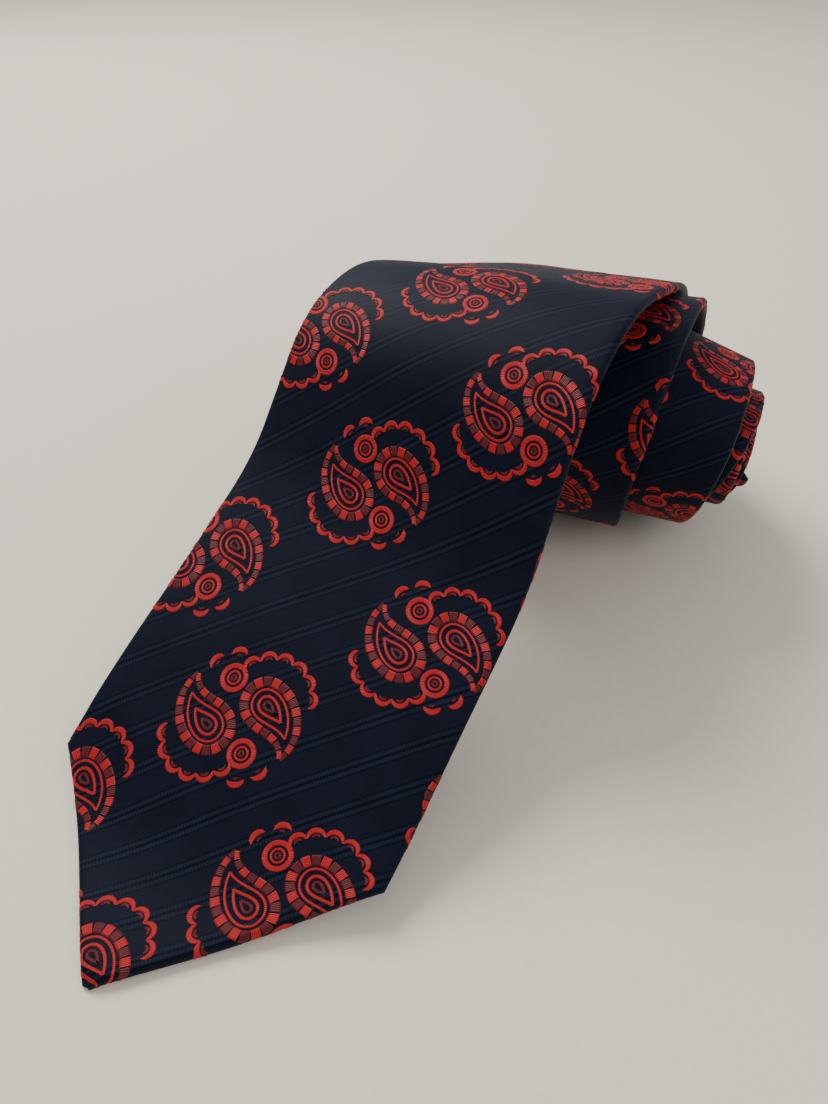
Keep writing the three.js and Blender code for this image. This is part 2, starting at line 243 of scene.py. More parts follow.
def tie_frames():
    """Point, across and outward directions of the face, for each millimetre of the tie."""
    blade = blade_points()
    turns = np.arange(ROLL_START, ROLL_TURNS, TURN_STEP)
    first_turns = np.array([ROLL_START, ROLL_START + BRIDGE_TURN])
    joint = np.vstack([blade[-6], blade[-1], roll_points(first_turns)])
    path = np.vstack([blade[:-1], bridge_points(joint, BRIDGE_POINTS), roll_points(turns)])
    lengths = PATH_START + run_along(path)
    stations = np.arange(-SPARE_LENGTH, TIE_LENGTH + SPARE_LENGTH)
    pull = np.exp(-0.5 * (np.arange(-EASE_REACH, EASE_REACH + 1) / EASE_WIDTH) ** 2)
    pull /= pull.sum()

    def points_at(s):
        return np.stack([np.interp(s, lengths, path[:, i]) for i in range(3)], axis=1)

    def eased(values):
        padded = np.pad(values, ((EASE_REACH, EASE_REACH), (0, 0)), "reflect",
                        reflect_type="odd")
        return np.stack([np.convolve(padded[:, i], pull, "valid") for i in range(3)], axis=1)

    along = unit(points_at(stations + LOOK_AHEAD) - points_at(stations - LOOK_AHEAD))
    upright = unit(np.cross([1.0, 0.0, 0.0], along))
    across = unit(np.cross(along, upright))
    turn_at = np.interp(stations, lengths[-len(turns):], turns, left=0.0)
    slope = read_rows(CONE, turn_at) * ((1 + upright[:, 2:]) / 2) ** 3
    across = unit(across - slope * upright)
    turned, tilted = np.radians(read_rows(BLADE_ACROSS, stations)).T
    drawn = np.stack([np.cos(tilted) * np.cos(turned), np.cos(tilted) * np.sin(turned),
                      np.sin(tilted)], axis=1)
    share = np.clip((stations - BLADE_END) / ROLL_BLEND, 0, 1)
    share = (share ** 2 * (3 - 2 * share))[:, None]
    across = unit(eased(drawn * (1 - share) + across * share))
    return stations, eased(points_at(stations)), across, unit(np.cross(across, along))


STATIONS, MIDDLE, ACROSS, OUTWARD = tie_frames()


def half_width(s):
    """Half the finished width, which narrows to a point at both ends."""
    side = read_rows(WIDTHS, s)[:, 0] / 2
    from_tip = s * WIDTHS[0][1] / 2 / TIP_LENGTH
    from_tail = (TIE_LENGTH - s) * WIDTHS[-1][1] / 2 / TAIL_TIP_LENGTH
    return np.maximum(np.minimum(np.minimum(side, from_tip), from_tail), LEAST_HALF)


def opening(s):
    """Half the gap between the two folded sides, which spreads towards each point."""
    half = half_width(s)
    gaps = []
    for from_tip, meet, corner, hem, widest in (
            (s, FOLDS_MEET, TIP_LENGTH, HEM, WIDTHS[0][1] / 2),
            (TIE_LENGTH - s, TAIL_FOLDS_MEET, TAIL_TIP_LENGTH, TAIL_HEM, WIDTHS[-1][1] / 2)):
        spread = (widest - hem - SLOT / 2) * (meet - from_tip) / (meet - corner)
        gap = np.minimum(SLOT / 2 + spread, np.maximum(half - hem, LEAST_GAP_SHARE * half))
        gaps.append(np.where(from_tip >= meet, SLOT / 2, gap))
    return np.maximum(gaps[0], gaps[1])


def place(s, t, depth):
    """Points of the tie in metres: s along it, t across it, depth below its face."""
    def at(values):
        return np.stack([np.interp(s, STATIONS, values[:, i]) for i in range(3)], axis=1)
    share = np.clip(np.abs(t) / half_width(s), 0, 1.1)
    sag = np.where(t < 0, read_rows(SAG, s)[:, 0] * share ** SAG_CURVE, 0)
    free = (np.clip((s - RIPPLE_FROM) / RIPPLE_EASE, 0, 1)
            * np.clip((RIPPLE_TO - s) / RIPPLE_EASE, 0, 1))
    ripple = (RIPPLE * free * np.sin(s / RIPPLE_ALONG[0] + t / RIPPLE_OVER[0])
              * np.cos(t / RIPPLE_OVER[1] - s / RIPPLE_ALONG[1]))
    points = at(MIDDLE) + unit(at(ACROSS)) * t[:, None]
    points -= unit(at(OUTWARD)) * (depth + sag + ripple)[:, None]
    points[:, 1] -= REST_Y
    return points * MM


def edge_radius(s):
    """The radius that the cloth turns round at a folded edge."""
    return np.minimum(THICKNESS / 2, EDGE_SHARE * half_width(s))


def wrapped(s, x, lift):
    """Where cloth at x, measured round the folded edge from the middle, lies: across, depth."""
    radius = edge_radius(s)
    flat = half_width(s) - radius
    turned = np.clip((np.abs(x) - flat) / radius, 0, np.pi)
    behind = np.maximum(np.abs(x) - flat - np.pi * radius, 0)
    across = np.minimum(np.abs(x), flat) + (radius + lift) * np.sin(turned) - behind
    return np.sign(x) * across, THICKNESS - radius - (radius + lift) * np.cos(turned)


def cloth_reach(s):
    """How far the cloth runs from the middle, round the edge, to the end of its fold."""
    radius = edge_radius(s)
    return 2 * (half_width(s) - radius) + np.pi * radius - opening(s)


def new_piece(name, points, faces, uv):
    """A smooth mesh object of four-sided faces that point outwards; uv is a pair a point."""
    a, b, c, d = (points[faces[:, i]] for i in range(4))
    if np.einsum("ij,ij->i", a, np.cross(b, c) + np.cross(c, d)).sum() < 0:
        faces = faces[:, ::-1]
    mesh = bpy.data.meshes.new(name)
    mesh.from_pydata(points.tolist(), [], faces.tolist())
    mesh.polygons.foreach_set("use_smooth", np.full(len(faces), True))
    layer = mesh.uv_layers.new(name="cloth")
    layer.data.foreach_set("uv", uv[faces.ravel()].ravel())
    mesh.update()
    piece = bpy.data.objects.new(name, mesh)
    bpy.context.collection.objects.link(piece)
    return piece


def sheet_piece(name, stations, outer, inner):
    """A closed thin sheet between two surfaces, each a function of the stations."""
    skins = [surface(stations) for surface in (outer, inner)]
    rows, columns = skins[0][0].shape
    s = np.repeat(stations, columns)
    points = np.vstack([place(s, t.ravel(), depth.ravel()) for t, depth, _ in skins])
    uv = np.vstack([np.stack([s, x.ravel()], axis=1) for _, _, x in skins]) * MM
    grid = np.arange(rows * columns).reshape(rows, columns)
    below = grid + rows * columns

    def quads(*corners):
        return np.stack([ids.ravel() for ids in corners], axis=1)

    faces = [quads(grid[:-1, :-1], grid[:-1, 1:], grid[1:, 1:], grid[1:, :-1]),
             quads(below[:-1, :-1], below[1:, :-1], below[1:, 1:], below[:-1, 1:]),
             quads(grid[:-1, 0], grid[1:, 0], below[1:, 0], below[:-1, 0]),
             quads(grid[1:, -1], grid[:-1, -1], below[:-1, -1], below[1:, -1]),
             quads(grid[0, 1:], grid[0, :-1], below[0, :-1], below[0, 1:]),
             quads(grid[-1, :-1], grid[-1, 1:], below[-1, 1:], below[-1, :-1])]
    return new_piece(name, points, np.vstack(faces), uv)


FRONT_COLUMNS = np.linspace(-1, 1, 27)
ARC_COLUMNS = np.linspace(0, 1, 8)[1:]
FLAP_COLUMNS = np.linspace(0, 1, 9)[1:]


def silk_surface(lift):
    """One skin of the folded silk, from one fold's end round the face to the other's."""
    def surface(stations):
        radius = edge_radius(stations)[:, None]
        flat = half_width(stations)[:, None] - radius
        arc = flat + np.pi * radius * ARC_COLUMNS
        flap = flat + np.pi * radius + (flat - opening(stations)[:, None]) * FLAP_COLUMNS
        side = np.hstack([arc, flap])
        x = np.hstack([-side[:, ::-1], flat * FRONT_COLUMNS, side])
        s = np.repeat(stations, x.shape[1])
        across, depth = wrapped(s, x.ravel(), np.maximum(lift, -FABRIC_SHARE * edge_radius(s)))
        return across.reshape(x.shape), depth.reshape(x.shape), x
    return surface


def cloth_map(nodes, layer):
    """The flat coordinates of a piece, from its own map."""
    node = nodes.new("ShaderNodeUVMap")
    node.uv_map = layer
    return node.outputs["UV"]


def add_relief(nodes, links, shader, height, strength, depth):
    """Fine relief, in metres, that is too small to model."""
    bump = nodes.new("ShaderNodeBump")
    bump.inputs["Strength"].default_value = strength
    bump.inputs["Distance"].default_value = depth
    links.new(height, bump.inputs["Height"])
    links.new(bump.outputs["Normal"], shader.inputs["Normal"])


def silk_material():
    """Fine diagonal twill with pairs of ribbed bands, a dark line beside each."""
    material, nodes, links, shader = new_material("figured_silk")
    cloth = cloth_map(nodes, "cloth")
    split = nodes.new("ShaderNodeSeparateXYZ")
    links.new(cloth, split.inputs["Vector"])

    def math_node(kind, first, second=None):
        node = nodes.new("ShaderNodeMath")
        node.operation = kind
        for socket, value in zip(node.inputs, (first, second)):
            if isinstance(value, (int, float)):
                socket.default_value = value
            elif value is not None:
                links.new(value, socket)
        return node.outputs[0]

    band_spacing, rib_spacing, twill_spacing = 0.0093, 0.00075, 0.00055
    ribs_fade = (0.34, 0.40)
    rib_shade, twill_shade, least_blotch = 0.28, 0.10, 0.5
    rib_relief, twill_relief = 0.5, 0.3
    least_rough, rough_spread = 0.52, 0.14
    down = math_node("SUBTRACT", split.outputs["X"], split.outputs["Y"])
    down = math_node("MULTIPLY", down, math.sqrt(0.5))
    over = math_node("ADD", split.outputs["X"], split.outputs["Y"])
    over = math_node("MULTIPLY", over, math.sqrt(0.5))
    band = math_node("FRACT", math_node("DIVIDE", down, band_spacing))
    ribs = math_node("SINE", math_node("MULTIPLY", over, 2 * math.pi / rib_spacing))
    twill = math_node("SINE", math_node("MULTIPLY", split.outputs["X"],
                                        2 * math.pi / twill_spacing))
    tint = nodes.new("ShaderNodeValToRGB")
    ground, line = (0.0042, 0.0050, 0.0132), (0.0008, 0.0010, 0.0030)
    strip = (0.0074, 0.0098, 0.0240)
    stops = [(0.0, ground), (0.05, line), (0.09, strip), (0.15, strip), (0.19, line),
             (0.23, line), (0.27, strip), (0.33, strip), (0.37, line), (0.42, ground)]
    ramp = tint.color_ramp.elements
    while len(ramp) < len(stops):
        ramp.new(1.0)
    for element, (position, colour) in zip(ramp, stops):
        element.position = position
        element.color = (*colour, 1.0)
    links.new(band, tint.inputs["Fac"])
    in_band = nodes.new("ShaderNodeValToRGB")
    in_band.color_ramp.elements[0].position = ribs_fade[0]
    in_band.color_ramp.elements[0].color = (1, 1, 1, 1)
    in_band.color_ramp.elements[1].position = ribs_fade[1]
    in_band.color_ramp.elements[1].color = (0, 0, 0, 1)
    links.new(band, in_band.inputs["Fac"])
    rib_height = math_node("MULTIPLY", ribs, in_band.outputs["Color"])
    blotch = nodes.new("ShaderNodeTexNoise")
    blotch.inputs["Scale"].default_value = 90.0
    links.new(cloth, blotch.inputs["Vector"])
    bright = math_node("ADD", math_node("MULTIPLY", rib_height, rib_shade), 1.0)
    bright = math_node("ADD", bright, math_node("MULTIPLY", twill, twill_shade))
    bright = math_node("MULTIPLY", bright,
                       math_node("ADD", blotch.outputs["Fac"], least_blotch))
    shade = nodes.new("ShaderNodeVectorMath")
    shade.operation = "SCALE"
    links.new(tint.outputs["Color"], shade.inputs[0])
    links.new(bright, shade.inputs["Scale"])
    links.new(shade.outputs["Vector"], shader.inputs["Base Color"])
    height = math_node("ADD", math_node("MULTIPLY", rib_height, rib_relief),
                       math_node("MULTIPLY", twill, twill_relief))
    add_relief(nodes, links, shader, height, 0.35, 0.00008)
    rough = math_node("ADD", math_node("MULTIPLY", blotch.outputs["Fac"], rough_spread),
                      least_rough)
    links.new(rough, shader.inputs["Roughness"])
    shader.inputs["Specular IOR Level"].default_value = 0.10
    shader.inputs["Specular Tint"].default_value = (0.65, 0.78, 1.0, 1.0)
    shader.inputs["Sheen Weight"].default_value = 0.03
    shader.inputs["Sheen Roughness"].default_value = 0.4
    shader.inputs["Sheen Tint"].default_value = (0.55, 0.62, 0.85, 1.0)
    return material


SILK = silk_material()
silk_lengths = []
for part, first, last in (("blade", 1.0, BLADE_JOIN - SEAM_GAP / 2),
                          ("neck", BLADE_JOIN + SEAM_GAP / 2, TAIL_JOIN - SEAM_GAP / 2),
                          ("tail", TAIL_JOIN + SEAM_GAP / 2, TIE_LENGTH - 1.0)):
    along_tie = np.linspace(first, last, int((last - first) / 2.0) + 1)
    corners = [s for s in (TIP_LENGTH, TIE_LENGTH - TAIL_TIP_LENGTH) if first < s < last]
    along_tie = np.unique(np.concatenate([along_tie, corners]))
    silk = sheet_piece(part + "_silk", along_tie, silk_surface(0.0), silk_surface(-FABRIC))
    silk.data.materials.append(SILK)
    silk_lengths.append((part, silk, along_tie))


# ---- Woven figures ----------------------------------------------------------------------
# Floats of red silk woven into the ground stand just proud of it. The figure is a plain
# traditional one: two curled drops head to tail, two runs of petals, two ringed dots and a
# few leaves. It repeats in rows along the stripes, every other one turned half round.
FIGURE_STEP_ALONG, FIGURE_STEP_OVER = 97.7, 46.0
FIGURES_ALONG, FIGURES_OVER = 14, 28
FIGURE_FIRST, FIGURES_BEFORE = (41.9, 52.8), (2, 4)
TURNED_FIGURE = (50.5, -1.0)
FIGURE_REACH, FIGURE_SPARE = 120.0, 30.0
FIGURE_FROM_START, FIGURE_FROM_END, FIGURE_FROM_FOLD = 0.8, 0.4, 0.5
FOLD_MARGIN, FOLD_EDGE, FOLD_CUTS = 1.2, 0.7, 3
FLOAT_HEIGHT = 0.13
FLOAT_PROFILE = ((0.5, -0.04), (0.36, 1), (-0.36, 1), (-0.5, -0.04))
BLOCK_GAP = 0.16
RED, DARK_RED = 1.0, 0.0


class Figure:
    """Collects the strokes of the figure as a flat relief, in millimetres."""

    def __init__(self):
        self.points, self.faces, self.tones, self.ribs = [], [], [], []

    def stroke(self, line, width, tone, taper=0.35):
        """A raised stroke along a line, narrowed to taper of its width at both ends."""
        line = np.asarray(line, float)
        run = run_along(line)
        swell = taper + (1 - taper) * np.maximum(np.sin(np.pi * run / run[-1]), 0) ** 0.6
        ahead = unit(np.gradient(line, axis=0) + 1e-9)
        aside = np.stack([-ahead[:, 1], ahead[:, 0]], axis=1)
        start, columns = len(self.points), len(FLOAT_PROFILE)
        for spot, side, grown, far in zip(line, aside, swell, run):
            for share, height in FLOAT_PROFILE:
                flat = spot + side * share * width * grown
                self.points.append((*flat, height * FLOAT_HEIGHT))
                self.ribs.append((far, share * width))
        for i in range(len(line) - 1):
            for j in range(columns - 1):
                near = start + columns * i + j
                self.faces.append((near, near + 1, near + columns + 1, near + columns))
                self.tones.append(tone)

    def blocks(self, line, width, count):
        """A band of short blocks of the two reds, with a thin joint between them."""
        line = np.asarray(line, float)
        run = run_along(line)
        for k in range(count):
            ends = run[-1] * np.array([k, k + 1]) / count + (BLOCK_GAP, -BLOCK_GAP)
            far = np.linspace(*ends, 4)
            part = np.stack([np.interp(far, run, line[:, i]) for i in (0, 1)], axis=1)
            swell = 0.45 + 0.55 * math.sin(math.pi * (k + 0.5) / count) ** 0.7
            self.stroke(part, width * swell, RED if k % 2 else DARK_RED, taper=1.0)


def drop_outline(at, heading, length, width, curl, grow, count=34):
    """Outline of a drop whose narrow end curls over, from its tip round to its tip."""
    heart, curl_power, spine_steps = 0.3, 2.2, 60

    def beside(lean):
        return np.stack([-np.sin(lean), np.cos(lean)], axis=1)

    phase = np.linspace(0.0, 2 * np.pi, count)
    aside = width / 2 * np.sin(phase) * np.maximum(np.sin(phase / 2), 0) ** 1.3
    run = heart + ((1 + np.cos(phase)) / 2 - heart) * grow
    steps = np.linspace(0, 1, spine_steps)
    lean = curl * steps ** curl_power
    ahead = np.stack([np.cos(lean), np.sin(lean)], axis=1)
    spine = np.cumsum(ahead, axis=0) * length / spine_steps
    middle = np.stack([np.interp(run, steps, spine[:, i]) for i in (0, 1)], axis=1)
    lean = curl * np.clip(run, 0, 1) ** curl_power
    outline = middle + (grow * aside)[:, None] * beside(lean)
    outline -= spine[round(heart * spine_steps)]
    turn = np.array([[math.cos(heading), math.sin(heading)],
                     [-math.sin(heading), math.cos(heading)]])
    return outline @ turn + np.array(at)


def arch(at, heading, radius, spread, count=9):
    """A bowed line about a point: its spread in radians lies to each side of its heading."""
    phase = heading + np.linspace(-spread, spread, count)
    return np.array(at) + radius * np.stack([np.cos(phase), np.sin(phase)], axis=1)


def petal_ring(figure, middle, radius, first, spread, count):
    """Petals side by side along part of a circle, each a bright arc over a dark one."""
    wide = spread * radius / 2 / count
    for k in range(count):
        heading = first + spread * (k + 0.5) / count
        petal = np.array(middle) + radius * np.array((math.cos(heading), math.sin(heading)))
        figure.stroke(arch(petal, heading, wide, 1.5), 0.62 * wide, RED, taper=0.25)
        figure.stroke(arch(petal, heading, 0.45 * wide, 1.3, count=6), 0.4 * wide, DARK_RED,
                      taper=0.3)


def draw_figure():
    """The whole figure about its middle; every size and place is in millimetres."""
    figure = Figure()
    drop_length, drop_width, drop_curl, drop_blocks = 22.0, 15.5, -1.5, 22
    for at, heading in (((-7.8, -0.5), 2.2), ((7.8, -1.5), -0.95)):
        shape = (at, heading, drop_length, drop_width, drop_curl)
        figure.blocks(drop_outline(*shape, 1.0), 2.5, drop_blocks)
        figure.stroke(drop_outline(*shape, 0.66), 0.65, RED, taper=0.9)
        figure.stroke(drop_outline(*shape, 0.38, 22), 0.8, RED, taper=0.8)
        figure.stroke(drop_outline(*shape, 0.16, 12), 0.8, DARK_RED, taper=0.9)
    for middle, first in (((-8.0, -1.6), 150), ((8.0, -0.4), -30)):
        petal_ring(figure, middle, 10.2, math.radians(first), math.radians(140), 6)
    ring = np.linspace(0, 2 * np.pi, 20)
    round_line = np.stack([np.cos(ring), np.sin(ring)], axis=1)
    for x, y in ((1.2, 8.6), (-1.2, -10.6)):
        for radius, width, tone in ((3.1, 1.3, RED), (1.6, 0.6, RED), (0.6, 0.7, DARK_RED)):
            figure.stroke(np.array((x, y)) + radius * round_line, width, tone, taper=1.0)
    leaves = [(3.4, 13.0, 1.2), (-1.6, 13.2, 2.0), (-3.6, -15.2, 4.4), (1.4, -15.4, 5.0)]
    for x, y, heading in leaves:
        figure.stroke(arch((x, y), heading, 2.4, 1.1, count=7), 1.5, RED, taper=0.1)
        figure.stroke(arch((x, y), heading, 0.9, 0.9, count=5), 0.7, DARK_RED, taper=0.1)
    return figure


def figure_object(figure):
    """The figure as a flat object, with each face's red and each stroke's own map."""
    mesh = bpy.data.meshes.new("figure")
    mesh.from_pydata(figure.points, [], figure.faces)
    tone = mesh.attributes.new("tone", "FLOAT", "FACE")
    tone.data.foreach_set("value", figure.tones)
    layer = mesh.uv_layers.new(name="ribs")
    order = np.zeros(len(mesh.loops), int)
    mesh.loops.foreach_get("vertex_index", order)
    layer.data.foreach_set("uv", (np.array(figure.ribs)[order] * MM).ravel())
    figure_piece = bpy.data.objects.new("figure", mesh)
    bpy.context.collection.objects.link(figure_piece)
    return figure_piece


def float_material():
    """Red silk floats: fine ribs across each stroke, in a bright and a dark red."""
    material, nodes, links, shader = new_material("red_floats")
    tone = nodes.new("ShaderNodeAttribute")
    tone.attribute_name = "tone"
    split = nodes.new("ShaderNodeSeparateXYZ")
    links.new(cloth_map(nodes, "ribs"), split.inputs["Vector"])
    scaled = nodes.new("ShaderNodeMath")
    scaled.operation = "MULTIPLY"
    rib_spacing = 0.00042
    scaled.inputs[1].default_value = 2 * math.pi / rib_spacing
    links.new(split.outputs["X"], scaled.inputs[0])
    wave = nodes.new("ShaderNodeMath")
    wave.operation = "SINE"
    links.new(scaled.outputs[0], wave.inputs[0])
    mix = nodes.new("ShaderNodeMix")
    mix.data_type = "RGBA"
    mix.inputs["A"].default_value = (0.105, 0.0035, 0.0070, 1.0)
    mix.inputs["B"].default_value = (0.42, 0.0070, 0.0085, 1.0)
    links.new(tone.outputs["Fac"], mix.inputs["Factor"])
    shade = nodes.new("ShaderNodeMapRange")
    shade.inputs["From Min"].default_value = -1.0
    shade.inputs["To Min"].default_value = 0.72
    shade.inputs["To Max"].default_value = 1.15
    links.new(wave.outputs[0], shade.inputs["Value"])
    scale = nodes.new("ShaderNodeVectorMath")
    scale.operation = "SCALE"
    links.new(mix.outputs["Result"], scale.inputs[0])
    links.new(shade.outputs["Result"], scale.inputs["Scale"])
    links.new(scale.outputs["Vector"], shader.inputs["Base Color"])
    add_relief(nodes, links, shader, wave.outputs[0], 0.5, 0.00008)
    shader.inputs["Roughness"].default_value = 0.5
    shader.inputs["Specular IOR Level"].default_value = 0.25
    return material


FLOATS = float_material()


def new_tree(name, inputs):
    """A geometry tree with named inputs; returns it, its add function, input and output."""
    tree = bpy.data.node_groups.new(name, "GeometryNodeTree")
    for title, kind, value in inputs:
        socket = tree.interface.new_socket(title, in_out="INPUT", socket_type=kind)
        if value is not None:
            socket.default_value = value
    tree.interface.new_socket("Geometry", in_out="OUTPUT", socket_type="NodeSocketGeometry")

    def add(kind, links=(), **settings):
        node = tree.nodes.new(kind)
        for key, value in settings.items():
            setattr(node, key, value)
        for socket, source in dict(links).items():
            if isinstance(source, bpy.types.NodeSocket):
                tree.links.new(source, node.inputs[socket])
            else:
                node.inputs[socket].default_value = source
        return node

    return tree, add, add("NodeGroupInput"), add("NodeGroupOutput")


def figure_tree():
    """Rows of figures inside a slanting strip of cloth, every other one turned round."""
    tree, add, given, result = new_tree("woven_figures", [
        ("Figure", "NodeSocketObject", None), ("Finish", "NodeSocketMaterial", None),
        ("Step along", "NodeSocketFloat", FIGURE_STEP_ALONG),
        ("Step over", "NodeSocketFloat", FIGURE_STEP_OVER),
        ("Start", "NodeSocketFloat", 0.0), ("End", "NodeSocketFloat", 1.0),
        ("Reach", "NodeSocketFloat", FIGURE_REACH),
        ("Count along", "NodeSocketInt", FIGURES_ALONG),
        ("Count over", "NodeSocketInt", FIGURES_OVER)])

    def sized(count, step):
        less = add("ShaderNodeMath", {0: given.outputs[count], 1: 1.0}, operation="SUBTRACT")
        full = add("ShaderNodeMath", {0: less.outputs[0], 1: given.outputs[step]},
                   operation="MULTIPLY")
        return full.outputs[0]

    grid = add("GeometryNodeMeshGrid", {
        "Size X": sized("Count along", "Step along"), "Size Y": sized("Count over", "Step over"),
        "Vertices X": given.outputs["Count along"], "Vertices Y": given.outputs["Count over"]})
    figure = add("GeometryNodeObjectInfo", {"Object": given.outputs["Figure"]})
    laid = []
    middle = [first - step * before + step * (count - 1) / 2 for first, step, before, count in
              zip(FIGURE_FIRST, (FIGURE_STEP_ALONG, FIGURE_STEP_OVER), FIGURES_BEFORE,
                  (FIGURES_ALONG, FIGURES_OVER))]
    for shift, turn in (((0.0, 0.0), 0.0), (TURNED_FIGURE, math.pi)):
        moved = add("GeometryNodeTransform", {
            "Geometry": grid.outputs["Mesh"],
            "Translation": (middle[0] + shift[0], middle[1] + shift[1], 0.0)})
        spot = add("GeometryNodeInputPosition")
        split = add("ShaderNodeSeparateXYZ", {0: spot.outputs[0]})
        total = add("ShaderNodeMath", {0: split.outputs["X"], 1: split.outputs["Y"]},
                    operation="ADD")
        along = add("ShaderNodeMath", {0: total.outputs[0], 1: math.sqrt(0.5)},
                    operation="MULTIPLY")
        lean = add("ShaderNodeMath", {0: split.outputs["X"], 1: split.outputs["Y"]},
                   operation="SUBTRACT")
        aside = add("ShaderNodeMath", {0: lean.outputs[0]}, operation="ABSOLUTE")
        wide = add("ShaderNodeMath", {0: given.outputs["Reach"], 1: math.sqrt(2.0)},
                   operation="MULTIPLY")
        tests = [("GREATER_THAN", aside, wide.outputs[0]),
                 ("LESS_THAN", along, given.outputs["Start"]),
                 ("GREATER_THAN", along, given.outputs["End"])]
        outside = None
        for kind, value, limit in tests:
            test = add("ShaderNodeMath", {0: value.outputs[0], 1: limit}, operation=kind)
            if outside is not None:
                test = add("ShaderNodeMath", {0: outside.outputs[0], 1: test.outputs[0]},
                           operation="MAXIMUM")
            outside = test
        kept = add("GeometryNodeDeleteGeometry", {"Geometry": moved.outputs["Geometry"],
                                                  "Selection": outside.outputs[0]})
        rows = add("GeometryNodeInstanceOnPoints", {
            "Points": kept.outputs["Geometry"], "Instance": figure.outputs["Geometry"],
            "Rotation": (0.0, 0.0, turn)})
        laid.append(rows.outputs["Instances"])
    joined = add("GeometryNodeJoinGeometry")
    for instances in laid:
        tree.links.new(instances, joined.inputs[0])
    real = add("GeometryNodeRealizeInstances", {"Geometry": joined.outputs[0]})
    finished = add("GeometryNodeSetMaterial", {"Geometry": real.outputs[0],
                                               "Material": given.outputs["Finish"]})
    tree.links.new(finished.outputs[0], result.inputs[0])
    return tree


def grown_mesh(name, tree, values):
    """The plain mesh object that a tree makes with these values of its named inputs."""
    carrier = bpy.data.objects.new(name + "_carrier", bpy.data.meshes.new(name + "_carrier"))
    bpy.context.collection.objects.link(carrier)
    modifier = carrier.modifiers.new("grow", "NODES")
    modifier.node_group = tree
    for item in tree.interface.items_tree:
        if item.in_out == "INPUT" and item.name in values:
            modifier[item.identifier] = values[item.name]
    depsgraph = bpy.context.evaluated_depsgraph_get()
    mesh = bpy.data.meshes.new_from_object(carrier.evaluated_get(depsgraph),
                                           preserve_all_data_layers=True, depsgraph=depsgraph)
    mesh.name = name
    bpy.data.objects.remove(carrier)
    piece = bpy.data.objects.new(name, mesh)
    bpy.context.collection.objects.link(piece)
    return piece


def mesh_points(mesh):
    """The places of a mesh's points, one row each."""
    points = np.zeros(len(mesh.vertices) * 3)
    mesh.vertices.foreach_get("co", points)
    return points.reshape(-1, 3)


def drop_faces(mesh, unwanted):
    """Deletes the points marked in unwanted, with every face that uses one."""
    work = bmesh.new()
    work.from_mesh(mesh)
    work.verts.ensure_lookup_table()
    gone = [work.verts[i] for i in np.flatnonzero(unwanted)]
    bmesh.ops.delete(work, geom=gone, context="VERTS")
    work.to_mesh(mesh)
    work.free()


def cloth_places(flat):
    """Distance along the tie and across the cloth of points given along and over the bands."""
    return (flat[:, 0] + flat[:, 1]) * math.sqrt(0.5), (flat[:, 0] - flat[:, 1]) * math.sqrt(0.5)


def refine(mesh, near_fold, longest):
    """Divides the long edges of strokes that bend round a fold, so that they follow it."""
    work = bmesh.new()
    work.from_mesh(mesh)
    bent = [edge for edge in work.edges if edge.calc_length() > longest
            and (near_fold[edge.verts[0].index] or near_fold[edge.verts[1].index])]
    bmesh.ops.subdivide_edges(work, edges=bent, cuts=FOLD_CUTS, use_grid_fill=True)
    work.to_mesh(mesh)
    work.free()


def weave_in(piece, stations):
    """Cuts flat figures to the cloth's outline and wraps them round it."""
    s, x = cloth_places(mesh_points(piece.data))
    ended = (s < stations[0] + FIGURE_FROM_START) | (s > stations[-1] - FIGURE_FROM_END)
    drop_faces(piece.data, ended | (np.abs(x) > cloth_reach(s) - FIGURE_FROM_FOLD))
    s, x = cloth_places(mesh_points(piece.data))
    radius = edge_radius(s)
    into_fold = np.abs(x) - half_width(s) + radius
    refine(piece.data, (into_fold > -FOLD_MARGIN)
           & (into_fold < np.pi * radius + FOLD_MARGIN), FOLD_EDGE)
    flat = mesh_points(piece.data)
    s, x = cloth_places(flat)
    across, depth = wrapped(s, x, flat[:, 2])
    piece.data.vertices.foreach_set("co", place(s, across, depth).ravel())
    piece.data.polygons.foreach_set("use_smooth", np.full(len(piece.data.polygons), False))
    piece.data.update()


FIGURE_ROWS = figure_tree()
one_figure = figure_object(draw_figure())
for part, silk, along_tie in silk_lengths:
    figures = grown_mesh(part + "_figures", FIGURE_ROWS, {
        "Figure": one_figure, "Finish": FLOATS, "Start": along_tie[0] - FIGURE_SPARE,
        "End": along_tie[-1] + FIGURE_SPARE, "Reach": FIGURE_REACH,
        "Step along": FIGURE_STEP_ALONG, "Step over": FIGURE_STEP_OVER,
        "Count along": FIGURES_ALONG, "Count over": FIGURES_OVER})
    weave_in(figures, along_tie)
    reach = 2 * cloth_reach(along_tie) * MM
    for piece in (silk, figures):
        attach(piece, "root")
        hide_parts(part + "_shell")
bpy.data.objects.remove(one_figure)


# ---- Interlining ------------------------------------------------------------------------
# One strip of brushed wool canvas, cut to the finished outline, that lies loose inside the
# silk from point to point and gives the tie its body.
CANVAS_TOP, CANVAS = 0.8, 0.8
PLY_INSET, PLY_LEAST_HALF, PLY_END, PLY_STEP, PLY_COLUMNS = 1.6, 0.4, 9.0, 3.0, 13


def ply_half(stations):
    return np.maximum(half_width(stations) - PLY_INSET, PLY_LEAST_HALF)


def ply_surface(depth):
    """A flat skin inside the silk, at one depth below its face."""
    def surface(stations):
        across = ply_half(stations)[:, None] * np.linspace(-1, 1, PLY_COLUMNS)
        return across, np.full_like(across, depth), across
    return surface


